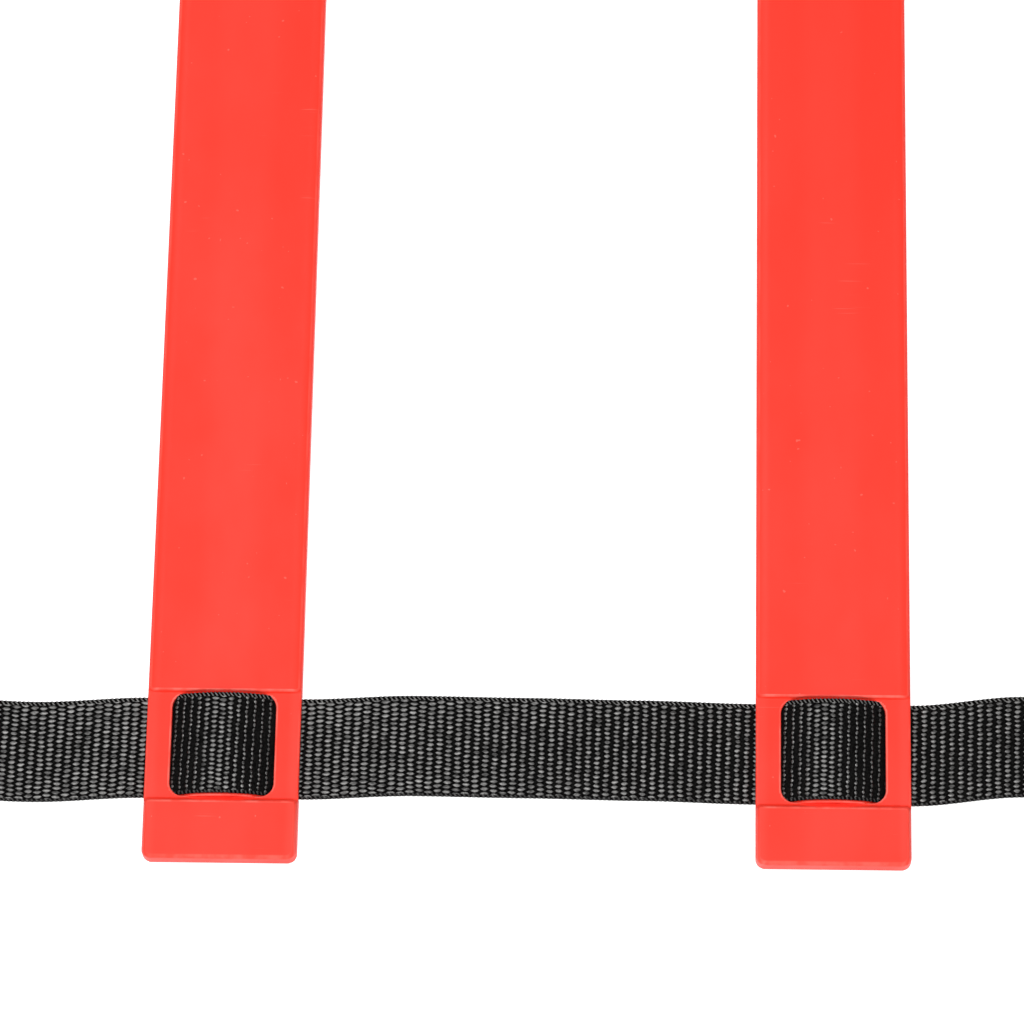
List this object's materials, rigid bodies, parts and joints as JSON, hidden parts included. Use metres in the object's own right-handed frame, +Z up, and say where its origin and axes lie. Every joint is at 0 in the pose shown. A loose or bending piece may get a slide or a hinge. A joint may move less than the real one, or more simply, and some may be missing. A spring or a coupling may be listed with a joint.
{
  "type": "speed ladder",
  "caption": "Flat agility ladder of moulded plastic rungs that slide along two webbing straps, with a D-ring sewn into each strap end.",
  "frame": {"origin": "middle of the ladder, on the ground", "axes": "+X along the straps, +Y along the rungs, +Z up"},
  "size_m": [1.0144, 0.43, 0.0066],
  "materials": {
    "moulded_plastic": "satin moulded plastic, coral red",
    "webbing": "woven webbing, black",
    "thread": "sewing thread, black",
    "ring_steel": "plated wire"
  },
  "bodies": {
    "strap_1": {"strap_front_1": "webbing", "strap_rear_1": "webbing", "end_loop_front_left": "webbing", "stitching_front_left": "thread", "end_loop_rear_left": "webbing", "stitching_rear_left": "thread"},
    "rung_1": {"rung_1": "moulded_plastic", "strap_arch_front_1": "webbing", "strap_arch_rear_1": "webbing"},
    "strap_2": {"strap_front_2": "webbing", "strap_rear_2": "webbing"},
    "rung_2": {"rung_2": "moulded_plastic", "strap_arch_front_2": "webbing", "strap_arch_rear_2": "webbing"},
    "strap_3": {"strap_front_3": "webbing", "strap_rear_3": "webbing"},
    "rung_3": {"rung_3": "moulded_plastic", "strap_arch_front_3": "webbing", "strap_arch_rear_3": "webbing"},
    "strap_4": {"strap_front_4": "webbing", "strap_rear_4": "webbing"},
    "rung_4": {"rung_4": "moulded_plastic", "strap_arch_front_4": "webbing", "strap_arch_rear_4": "webbing"},
    "strap_5": {"strap_front_5": "webbing", "strap_rear_5": "webbing"},
    "rung_5": {"rung_5": "moulded_plastic", "strap_arch_front_5": "webbing", "strap_arch_rear_5": "webbing"},
    "strap_6": {"strap_front_6": "webbing", "strap_rear_6": "webbing", "end_loop_front_right": "webbing", "stitching_front_right": "thread", "end_loop_rear_right": "webbing", "stitching_rear_right": "thread"},
    "rung_6": {"rung_6": "moulded_plastic", "strap_arch_front_6": "webbing", "strap_arch_rear_6": "webbing"},
    "ring_front_left": {"ring_front_left": "ring_steel"},
    "ring_front_right": {"ring_front_right": "ring_steel"},
    "ring_rear_left": {"ring_rear_left": "ring_steel"},
    "ring_rear_right": {"ring_rear_right": "ring_steel"}
  },
  "joints": [
    {"name": "fold_1", "type": "hinge", "parent": "strap_1", "child": "strap_2", "pos_m": [-0.3, 0, 0.0075], "axis": [0, -1, 0], "range_deg": [0, 178]},
    {"name": "fold_2", "type": "hinge", "parent": "strap_2", "child": "strap_3", "pos_m": [-0.15, 0, -0.003], "axis": [0, 1, 0], "range_deg": [0, 178]},
    {"name": "fold_3", "type": "hinge", "parent": "strap_3", "child": "strap_4", "pos_m": [0, 0, 0.0075], "axis": [0, -1, 0], "range_deg": [0, 178]},
    {"name": "fold_4", "type": "hinge", "parent": "strap_4", "child": "strap_5", "pos_m": [0.15, 0, -0.003], "axis": [0, 1, 0], "range_deg": [0, 178]},
    {"name": "fold_5", "type": "hinge", "parent": "strap_5", "child": "strap_6", "pos_m": [0.3, 0, 0.0075], "axis": [0, -1, 0], "range_deg": [0, 178]},
    {"name": "rung_1_slide", "type": "slide", "parent": "strap_1", "child": "rung_1", "axis": [1, 0, 0], "range_m": [-0.042, 0.042]},
    {"name": "rung_2_slide", "type": "slide", "parent": "strap_2", "child": "rung_2", "axis": [1, 0, 0], "range_m": [-0.042, 0.042]},
    {"name": "rung_3_slide", "type": "slide", "parent": "strap_3", "child": "rung_3", "axis": [1, 0, 0], "range_m": [-0.042, 0.042]},
    {"name": "rung_4_slide", "type": "slide", "parent": "strap_4", "child": "rung_4", "axis": [1, 0, 0], "range_m": [-0.042, 0.042]},
    {"name": "rung_5_slide", "type": "slide", "parent": "strap_5", "child": "rung_5", "axis": [1, 0, 0], "range_m": [-0.042, 0.042]},
    {"name": "rung_6_slide", "type": "slide", "parent": "strap_6", "child": "rung_6", "axis": [1, 0, 0], "range_m": [-0.042, 0.042]},
    {"name": "ring_front_left_swing", "type": "hinge", "parent": "strap_1", "child": "ring_front_left", "pos_m": [-0.484, -0.1859, 0.00295], "axis": [0, 1, 0], "range_deg": [0, 170]},
    {"name": "ring_front_right_swing", "type": "hinge", "parent": "strap_6", "child": "ring_front_right", "pos_m": [0.484, -0.1859, 0.00295], "axis": [0, -1, 0], "range_deg": [0, 170]},
    {"name": "ring_rear_left_swing", "type": "hinge", "parent": "strap_1", "child": "ring_rear_left", "pos_m": [-0.484, 0.1859, 0.00295], "axis": [0, 1, 0], "range_deg": [0, 170]},
    {"name": "ring_rear_right_swing", "type": "hinge", "parent": "strap_6", "child": "ring_rear_right", "pos_m": [0.484, 0.1859, 0.00295], "axis": [0, -1, 0], "range_deg": [0, 170]}
  ],
  "couplings": [
    {"joint": "fold_2", "follows": "fold_1", "ratio": 1},
    {"joint": "fold_3", "follows": "fold_1", "ratio": 1},
    {"joint": "fold_4", "follows": "fold_1", "ratio": 1},
    {"joint": "fold_5", "follows": "fold_1", "ratio": 1}
  ]
}
